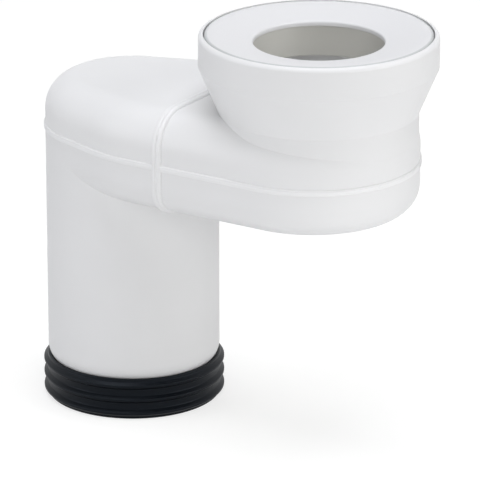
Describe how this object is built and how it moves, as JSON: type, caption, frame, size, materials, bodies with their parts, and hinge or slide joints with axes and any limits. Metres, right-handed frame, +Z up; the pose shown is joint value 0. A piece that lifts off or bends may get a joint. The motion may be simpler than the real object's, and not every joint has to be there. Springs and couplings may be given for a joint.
{
  "type": "offset bend",
  "caption": "Hollow offset bend for a soil pipe: cup inlet with a white lip seal, rounded welded chamber, plain spigot outlet with a black seal ring.",
  "frame": {"origin": "on the outlet's axis, in the plane of the spigot's end face, level with the highest lip of the seal ring", "axes": "+Z up along the outlet's axis, +X from the outlet's axis to the inlet's axis, and the part is the same on both sides of the XZ plane"},
  "size_m": [0.2701, 0.1482, 0.2616],
  "materials": {
    "moulded_body": "satin moulded polypropylene, off-white",
    "white_seal": "smooth soft elastomer, white",
    "black_seal": "satin EPDM rubber, black"
  },
  "bodies": {
    "root": {"outlet_half": "moulded_body", "inlet_half": "moulded_body", "inlet_lip_seal": "white_seal", "outlet_seal_ring": "black_seal"}
  },
  "joints": []
}
